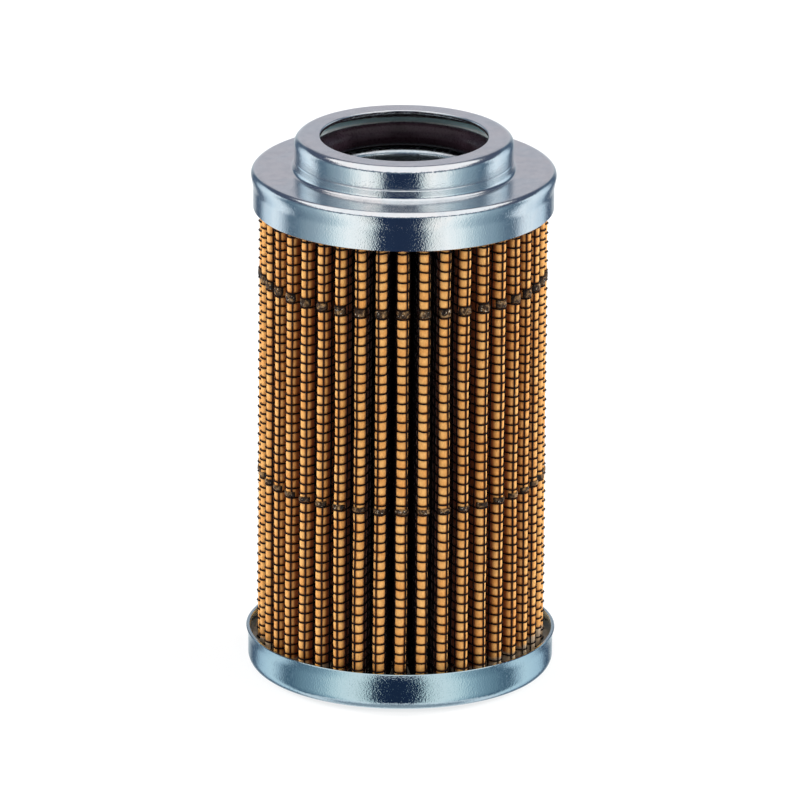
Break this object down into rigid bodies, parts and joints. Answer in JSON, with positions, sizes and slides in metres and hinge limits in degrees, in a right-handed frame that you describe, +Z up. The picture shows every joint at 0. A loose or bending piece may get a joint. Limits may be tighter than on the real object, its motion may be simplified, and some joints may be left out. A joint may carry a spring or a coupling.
{
  "type": "hydraulic filter element",
  "caption": "Cylindrical hydraulic filter element: pleated paper pack folded with black wire screen, zinc-plated steel end caps, and a seal ring in the collar of the upper cap.",
  "frame": {"origin": "on the element's axis, at the surface that it stands on", "axes": "+Z up along the axis towards the collar's mouth; the pleat at -Y is the one that faces the front"},
  "size_m": [0.0478, 0.0478, 0.086],
  "materials": {
    "zinc_sheet": "drawn sheet, bright zinc plated with a blue tint",
    "seal_rubber": "moulded nitrile rubber, dark brown-black, satin",
    "seat_sheet": "pressed zinc-plated sheet",
    "core_sheet": "perforated steel tube, plain and dull",
    "inner_wire": "fine steel screen",
    "filter_paper": "resin-treated golden-brown filter paper, matt",
    "coated_wire": "wire with a black epoxy coat",
    "glue": "hot-melt adhesive, smoky brown and glossy",
    "potting": "cured adhesive, grey-brown"
  },
  "bodies": {
    "root": {"upper_cap": "zinc_sheet", "seal_ring": "seal_rubber", "seal_seat": "seat_sheet", "core_tube": "core_sheet", "inner_screen": "inner_wire", "filter_paper": "filter_paper", "long_wires": "coated_wire", "cross_wires": "coated_wire", "glue_bead_upper": "glue", "glue_bead_lower": "glue", "potting_upper": "potting", "potting_lower": "potting", "lower_cup": "zinc_sheet"}
  },
  "joints": []
}
